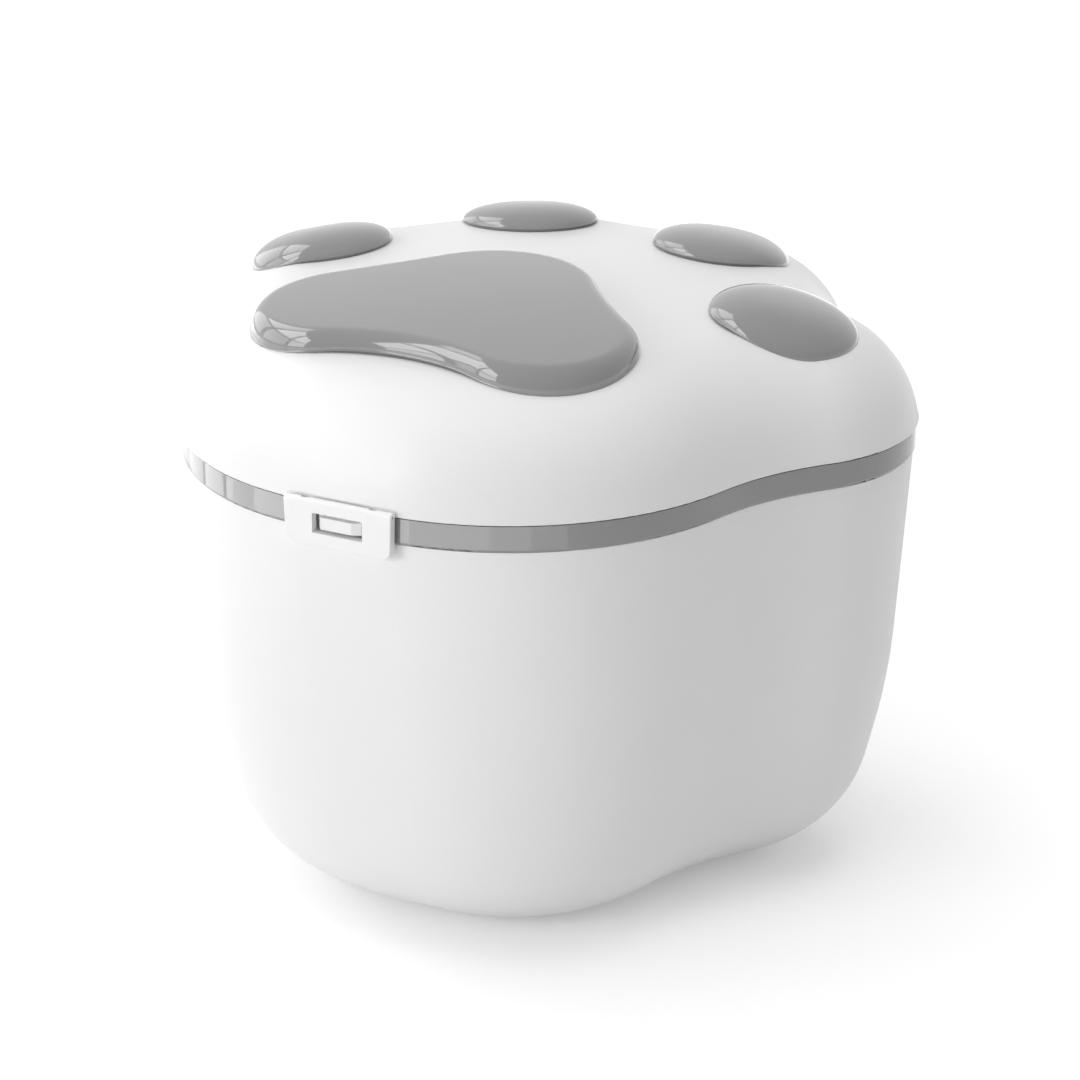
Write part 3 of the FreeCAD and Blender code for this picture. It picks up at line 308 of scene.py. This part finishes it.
def hollow_centre(first, radius_first, second, radius_second, hollow):
    """Centre of the arc that touches two circles from outside, on the outline's far side.

    Its distances from the two centres are the sums of the radii, so it is where two
    circles of those sums cross.
    """
    span = second - first
    length = np.hypot(*span)
    near = radius_first + hollow
    far = radius_second + hollow
    along = (length ** 2 + near ** 2 - far ** 2) / (2 * length)
    off = np.sqrt(near ** 2 - along ** 2)
    unit = span / length
    return first + unit * along + np.array([unit[1], -unit[0]]) * off


def mirrored(arc):
    """The same arc on the left of the middle plane."""
    centre, radius, bulge = arc
    return centre * (-1, 1), radius, bulge


def meeting(first, second):
    """Where two neighbouring tangent arcs meet: on the line through their centres."""
    (a, radius_a, bulge_a), (b, radius_b, bulge_b) = first, second
    unit = (b - a) / np.hypot(*(b - a))
    if bulge_a != bulge_b or radius_a > radius_b:
        return a + unit * radius_a
    return b - unit * radius_b


def ring_points(ring, inset=0.0, per_arc=40):
    """Points round a ring of tangent arcs (centre, radius, bulge), moved in by an inset.

    Each arc is centre + (radius - bulge * inset) * (cos a, sin a), with the angle a
    running evenly between its two meeting points. Bulge is 1 round and -1 hollow.
    """
    pieces = []
    for k, (centre, radius, bulge) in enumerate(ring):
        start = meeting(ring[k - 1], ring[k]) - centre
        end = meeting(ring[k], ring[(k + 1) % len(ring)]) - centre
        first = np.arctan2(start[1], start[0])
        last = np.arctan2(end[1], end[0])
        last = last + 2 * np.pi * bulge * (bulge * (last - first) < 0)
        angle = first + (last - first) * np.arange(per_arc) / per_arc
        ray = np.stack([np.cos(angle), np.sin(angle)], axis=1)
        pieces.append(centre + ray * (radius - bulge * inset))
    return np.concatenate(pieces)


def paw_ring():
    """The rim's outline as tangent arcs, anticlockwise from the heel.

    A corner lies inside the heel's broad arc and touches it, so its centre is the
    difference of their radii from the heel's. Each hollow touches the arcs on both sides.
    """
    heel_radius, corner_radius, corner_offset = 300 * MM, 102 * MM, 13.5 * MM
    flank, between, rear = 105 * MM, 85 * MM, 38 * MM
    heel = (np.array([0, heel_radius - RIM_FRONT]), heel_radius, 1)
    drop = np.sqrt((heel_radius - corner_radius) ** 2 - corner_offset ** 2)
    corner = (np.array([corner_offset, heel[0][1] - drop]), corner_radius, 1)
    outer = (np.array([92, 17]) * MM, 58 * MM, 1)
    inner = (np.array([38.5, 85]) * MM, 54 * MM, 1)
    right = [corner,
             (hollow_centre(*corner[:2], *outer[:2], flank), flank, -1), outer,
             (hollow_centre(*outer[:2], *inner[:2], between), between, -1), inner]
    back = hollow_centre(*inner[:2], *mirrored(inner)[:2], rear)
    return [heel] + right + [(back, rear, -1)] + [mirrored(arc) for arc in reversed(right)]


PAW = ring_points(paw_ring())


def crown_height(across, along):
    """Height of the crown: a sphere, highest over CROWN_ALONG on the middle plane."""
    flat = across ** 2 + (along - CROWN_ALONG) ** 2
    return CROWN_LEVEL - CROWN_RADIUS + np.sqrt(CROWN_RADIUS ** 2 - flat)


def lid_height(points):
    """Height of the lid's outer skin over points of the plan.

    Inside the shoulder it is the crown. On the shoulder it is the top of a ball of the
    shoulder's radius that touches both the crown and the leaning wall: the ball's centre
    lies one radius under the crown, at the distance from the rim where it meets the wall.
    """
    crown = crown_height(points[:, 0], points[:, 1])
    rim = np.hypot(*(points[:, None, :2] - PAW[None]).transpose(2, 0, 1)).min(axis=1)
    middle = crown - LID_ROUND
    reach = ((middle - RIM_LEVEL) * np.tan(LID_DRAFT) + LID_ROUND / np.cos(LID_DRAFT)
             - LID_PROUD)
    return middle + np.sqrt(LID_ROUND ** 2 - np.clip(reach - rim, 0, LID_ROUND) ** 2)


def ring_skin(name, rows):
    """A closed skin through closed rings of points, (rings, points, 3), top ring first.

    Quads join each ring to the next, and a fan closes the first and the last ring on its
    middle. The rings run anticlockwise seen from above, so all faces point outwards.
    """
    count, around = rows.shape[:2]
    middles = rows[[0, -1]].mean(axis=1)
    ring = np.arange(around)
    after = (ring + 1) % around
    start = np.arange(count - 1)[:, None] * around
    quads = np.stack([start + ring, start + around + ring, start + around + after,
                      start + after], axis=-1).reshape(-1, 4)
    top = np.stack([np.full(around, count * around), ring, after], axis=1)
    last = (count - 1) * around
    foot = np.stack([np.full(around, count * around + 1), last + after, last + ring], axis=1)
    mesh = bpy.data.meshes.new(name)
    mesh.from_pydata(np.concatenate([rows.reshape(-1, 3), middles]).tolist(), [],
                     quads.tolist() + top.tolist() + foot.tolist())
    mesh.shade_smooth()
    piece = bpy.data.objects.new(name, mesh)
    bpy.context.scene.collection.objects.link(piece)
    return piece


def rolled(step, power):
    """Quarter of a superellipse: how far in and how far down the roll is, as 0 to 1."""
    angle = step * np.pi / 2
    return 1 - np.sin(angle) ** (2 / power), 1 - np.cos(angle) ** (2 / power)


def pad_foot(edge, inward, down):
    """The last rings of a pad: the quarter circle of the shadow gap, then its root."""
    turn = np.linspace(0, np.pi / 2, TUCK_RINGS)[:, None, None]
    tuck = edge + inward * SHADOW_GAP * (1 - np.cos(turn)) + down * SHADOW_GAP * np.sin(turn)
    return np.concatenate([tuck, tuck[-1:] + down * (SHADOW_GAP + PAD_ROOT)])


def heel_ring():
    """The heel pad's outline: two front lobes, a rear apex and three hollows."""
    low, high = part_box("heel_pad")
    lobe = (np.array([high.x - LOBE_RADIUS, low.y + LOBE_RADIUS]), LOBE_RADIUS, 1)
    apex = (np.array([0, high.y - APEX_RADIUS]), APEX_RADIUS, 1)
    side = (hollow_centre(*lobe[:2], *apex[:2], SIDE_HOLLOW), SIDE_HOLLOW, -1)
    front = (hollow_centre(*mirrored(lobe)[:2], *lobe[:2], FRONT_HOLLOW), FRONT_HOLLOW, -1)
    return [lobe, side, apex, mirrored(side), mirrored(lobe), front]


def heel_pad_rows(ring, rise):
    """Rings of the heel pad, from the middle of its top to its root in the lid.

    The top is the crown raised by the pad's rise, on rings shrunk towards the middle.
    The roll moves the outline in by a superellipse's x, and lowers it by its y times the
    height left between that top and the edge, which stands a gap above the lid.
    """
    outline = ring_points(ring)
    inside = ring_points(ring, PAD_ROLL)
    middle = inside.mean(axis=0)
    shrink = np.linspace(HUB, 1, TOP_RINGS, endpoint=False)[:, None, None]
    back_in, down = rolled(np.linspace(0, 1, ROLL_RINGS), ROLL_POWER)
    flat = np.concatenate([middle + (inside - middle) * shrink,
                           np.stack([ring_points(ring, inset)
                                     for inset in back_in * PAD_ROLL])])
    fall = (crown_height(outline[:, 0], outline[:, 1]) + rise - lid_height(outline)
            - 2 * SHADOW_GAP)
    lowered = np.concatenate([np.zeros(len(shrink)), down])[:, None] * fall
    height = crown_height(flat[..., 0], flat[..., 1]) + rise - lowered
    rows = np.concatenate([flat, height[..., None]], axis=-1)
    inward = np.zeros_like(rows[-1])
    inward[:, :2] = (ring_points(ring, MM) - outline) / MM
    return np.concatenate([rows, pad_foot(rows[-1], inward, np.array([0, 0, -1.0]))])


heel_pad = ring_skin("heel_pad_skin",
                     heel_pad_rows(heel_ring(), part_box("heel_pad")[1].z - CROWN_LEVEL))
heel_pad.data.materials.append(grey_abs)
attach(heel_pad, "lid")
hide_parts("heel_pad")

# --- Toe pads ----------------------------------------------------------------------------
# Four round pads of the same polished ABS, each a shallow dome on two studs. They lean out
# with the lid's shoulder, so each pad's flank is taller on its outer side.

TOE_PADS = {            # radius, place across and along, lean out and back per unit of height
    "outer": (28.8 * MM, 101.4 * MM, 12.3 * MM, 0.23, 0.08),
    "inner": (27.7 * MM, 43.2 * MM, 81.5 * MM, 0.09, 0.16),
}
TOE_RISE = 8.0 * MM     # dome's top above the lid's crown, along the pad's own axis
DOME_POWER = 2.4        # above 2 is flatter on top than a ball
RIM_POWER = 0.55        # 1 meets the lid at a slant, 0.5 upright
TOE_HUB = 0.03          # innermost ring, as a step of the quarter turn to the edge
TOE_RINGS, TOE_AROUND = 36, 128
SETTLING_STEPS = 6      # for the height at which a leaning pad meets the lid


def leaning_frame(lean_across, lean_along):
    """Columns of a frame whose Z leans, turned from upright about a level axis."""
    upright = Vector((0, 0, 1))
    turn = upright.rotation_difference(Vector((lean_across, lean_along, 1)))
    return np.array(turn.to_matrix())


def toe_pad_rows(radius, centre, axes):
    """Rings of a toe pad, a dome that falls from its rise to an edge along the lid.

    The fall is (1 - (1 - r ^ DOME_POWER) ^ RIM_POWER) times the height between the dome's
    top and the edge, with r from 0 to 1. The edge is found by stepping down the pad's own
    axis by the height still left above the lid.
    """
    around = np.linspace(0, 2 * np.pi, TOE_AROUND, endpoint=False)
    circle = np.stack([np.cos(around), np.sin(around), np.zeros(len(around))], axis=1)
    edge = centre + radius * circle @ axes.T
    below = np.zeros(len(edge))
    for _ in range(SETTLING_STEPS):
        reached = edge - axes[:, 2] * below[:, None]
        below = below + (reached[:, 2] - lid_height(reached)) / axes[2, 2]
    below = below - 2 * SHADOW_GAP
    reach = np.sin(np.linspace(TOE_HUB, 1, TOE_RINGS) * np.pi / 2)
    fall = 1 - np.clip(1 - reach ** DOME_POWER, 0, 1) ** RIM_POWER
    rows = circle * (reach * radius)[:, None, None]
    rows[..., 2] = TOE_RISE - fall[:, None] * (TOE_RISE + below)
    rows = centre + rows @ axes.T
    return np.concatenate([rows, pad_foot(rows[-1], -circle @ axes.T, -axes[:, 2])])


for kind, (radius, across, along, lean_out, lean_back) in TOE_PADS.items():
    for side, hand in ((-1, "left"), (1, "right")):
        centre = np.array([side * across, along, crown_height(across, along)])
        axes = leaning_frame(side * lean_out, lean_back)
        toe_pad = ring_skin("toe_pad_%s_%s_skin" % (kind, hand),
                            toe_pad_rows(radius, centre, axes))
        toe_pad.data.materials.append(grey_abs)
        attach(toe_pad, "lid")
        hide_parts("toe_pad_%s_%s" % (kind, hand))

# --- Clasp and its pin -------------------------------------------------------------------
# The clasp is a flat white polypropylene plate with a fingertip window. Its rolled top
# edge turns on a thin steel pin, held in two eyes on the lid.

dress(white_polypropylene, "clasp")
dress(wire_steel, "clasp_pin")

# --- Floor -------------------------------------------------------------------------------
# A plain pale sweep under the bin. It shows white, as the backdrop does, and keeps the
# bin's soft shadow.


def seen_rays(owner):
    """1 on camera, glossy and transmission rays, 0 on the rays that carry light."""
    rays = add_node(owner, "ShaderNodeLightPath").outputs
    seen = add_node(owner, "ShaderNodeMath", [(0, rays["Is Camera Ray"]),
                                              (1, rays["Is Glossy Ray"])],
                    operation="MAXIMUM")
    seen = add_node(owner, "ShaderNodeMath", [(0, seen.outputs[0]),
                                              (1, rays["Is Transmission Ray"])],
                    operation="MAXIMUM")
    return seen.outputs[0]


TOOTH = 1.111 * MM      # paper's tooth is finer; drawn coarser so that it shows
FLOOR_HALF = 4          # half of its side
LIFT_NEAR, LIFT_FAR = 0.24, 1.0     # glow within the first distance, and past the second
NEAR_REACH, FAR_REACH = 0.4, 1.5


def pale_floor(name, colour):
    """Matt paper: a diffuse sheet with a faint tooth, lifted to white where it is seen.

    The lift is a glow for camera, glossy and transmission rays alone, so it adds no light
    to the bin. It is weak near the bin, where the shadow stays, and grows to a full white
    with the distance from it, as a lit sweep does.
    """
    material = new_material(name)
    place = add_node(material, "ShaderNodeTexCoord").outputs["Object"]
    tooth = add_node(material, "ShaderNodeTexNoise", [("Vector", place)], Scale=1 / TOOTH)
    bump = add_node(material, "ShaderNodeBump", [("Height", tooth.outputs["Fac"])],
                    Strength=0.05, Distance=0.05 * MM)
    paper = add_node(material, "ShaderNodeBsdfDiffuse", [("Normal", bump.outputs[0])],
                     Color=linear(colour))
    away = add_node(material, "ShaderNodeVectorMath", [(0, place)], operation="LENGTH")
    rise = add_node(material, "ShaderNodeMapRange", [("Value", away.outputs["Value"])],
                    From_Min=NEAR_REACH, From_Max=FAR_REACH, To_Min=LIFT_NEAR,
                    To_Max=LIFT_FAR)
    glow = add_node(material, "ShaderNodeMath", [(0, rise.outputs[0]),
                                                 (1, seen_rays(material))],
                    operation="MULTIPLY")
    lift = add_node(material, "ShaderNodeEmission", [("Strength", glow.outputs[0])],
                    Color=(1, 1, 1, 1))
    both = add_node(material, "ShaderNodeAddShader", [(0, paper.outputs[0]),
                                                      (1, lift.outputs[0])])
    add_node(material, "ShaderNodeOutputMaterial", [("Surface", both.outputs[0])])
    return material


floor_mesh = bpy.data.meshes.new("floor")
floor_corners = [(FLOOR_HALF * x, FLOOR_HALF * y, 0)
                 for x, y in ((-1, -1), (1, -1), (1, 1), (-1, 1))]
floor_mesh.from_pydata(floor_corners, [], [(0, 1, 2, 3)])
floor_mesh.materials.append(pale_floor("white_paper", "#FAFAFA"))
floor = bpy.data.objects.new("floor", floor_mesh)
bpy.context.scene.collection.objects.link(floor)

# --- Light -------------------------------------------------------------------------------
# Soft studio light, brightest from the left. Two rows of window panes on the left, and low
# cards from the left round to the front, are seen by glossy surfaces only.


def softbox(name, place, aim, size, power, in_gloss=False, in_matt=True):
    """A rectangular area lamp at a place, turned to face a point."""
    lamp = bpy.data.lights.new(name, "AREA")
    lamp.shape = "RECTANGLE"
    lamp.size, lamp.size_y = size
    lamp.energy = power
    holder = bpy.data.objects.new(name, lamp)
    holder.location = place
    holder.rotation_euler = (Vector(aim) - Vector(place)).to_track_quat("-Z", "Y").to_euler()
    holder.visible_camera = False
    holder.visible_glossy = in_gloss
    holder.visible_diffuse = in_matt
    bpy.context.scene.collection.objects.link(holder)


def reflector(name, place, aim, size, glow):
    """A panel that only glossy surfaces show.

    Its power is its glow times pi times its area, so panels of every size look equally
    bright for the same glow.
    """
    width, height = size
    softbox(name, place, aim, size, glow * np.pi * width * height,
            in_gloss=True, in_matt=False)


MIDDLE = (0, 0, 0.12)           # the lamps aim at the middle of the bin
softbox("side", (-1.7, 0.5, 0.5), MIDDLE, (1.0, 0.8), 12)
softbox("front_left", (-0.9, -1.9, 0.7), MIDDLE, (1.0, 0.8), 15)
softbox("overhead", (0, 0, 1.7), MIDDLE, (1.4, 1.4), 12)

WINDOW_WALL = -1.2              # the panes stand this far across, and face right
PANE_PLACES = (0.35, -0.65, -2.15)      # along the wall, from behind to the front
PANE_WIDTHS = (0.75, 0.95, 1.7)
PANE_ROWS = (                   # height of the row's middle, pane's height, pane's glows
    (0.55, 0.7, (1.2, 1.7, 3.6)),
    (1.6, 1.2, (2.2, 4.2, 4.6)),
)
for level, height, glows in PANE_ROWS:
    for along, width, glow in zip(PANE_PLACES, PANE_WIDTHS, glows):
        reflector("pane", (WINDOW_WALL, along, level), (0, along, level), (width, height),
                  glow)

CARD_RING = 0.5                 # the cards' ends are this far from the bin's middle
CARD_HEIGHT = 0.10
CARD_FOOT = 0.004               # just clear of the floor
CARDS = (                       # first and last angle, anticlockwise from the right; glow
    (150, 168, 0.4), (168, 184.5, 0.95), (187, 201.5, 1.8),
    (203.5, 208, 2.3), (208, 220, 1.6), (220, 262, 3.0),
    (262, 290, 1.8), (290, 304, 1.2), (304, 316, 0.6),
)
for first, last, glow in CARDS:
    facing, half = np.radians((first + last) / 2), np.radians((last - first) / 2)
    chord = 2 * CARD_RING * np.sin(half)
    level = CARD_FOOT + CARD_HEIGHT / 2
    stand = CARD_RING * np.cos(half) * np.array([np.cos(facing), np.sin(facing)])
    reflector("card", (*stand, level), (0, 0, level), (chord, CARD_HEIGHT), glow)

WORLD_LIGHT = 0.40              # what the white surroundings add as light

world = bpy.data.worlds.new("studio")
world.use_nodes = True
world.node_tree.nodes.clear()
white = add_node(world, "ShaderNodeBackground", Color=(1, 1, 1, 1), Strength=1.0)
dim = add_node(world, "ShaderNodeBackground", Color=(1, 1, 1, 1), Strength=WORLD_LIGHT)
mixed = add_node(world, "ShaderNodeMixShader", [(0, seen_rays(world)), (1, dim.outputs[0]),
                                                (2, white.outputs[0])])
add_node(world, "ShaderNodeOutputWorld", [("Surface", mixed.outputs[0])])
bpy.context.scene.world = world

# --- Camera ------------------------------------------------------------------------------
# The eye stands ahead of the bin and to its right, and looks down on it by 22 degrees
# through a long lens.

SENSOR_WIDTH = 36.0             # millimetres, as is the lens
LENS = 113.4
EYE = Vector((0.5859, -1.1028, 0.6266))
AIM = Vector((-0.0196, 0.0454, 0.1022))

camera_data = bpy.data.cameras.new("camera")
camera_data.sensor_width = SENSOR_WIDTH
camera_data.lens = LENS
camera = bpy.data.objects.new("camera", camera_data)
camera.location = EYE
camera.rotation_euler = (AIM - EYE).to_track_quat("-Z", "Y").to_euler()
bpy.context.scene.collection.objects.link(camera)
bpy.context.scene.camera = camera
bpy.context.scene.view_settings.view_transform = "Standard"
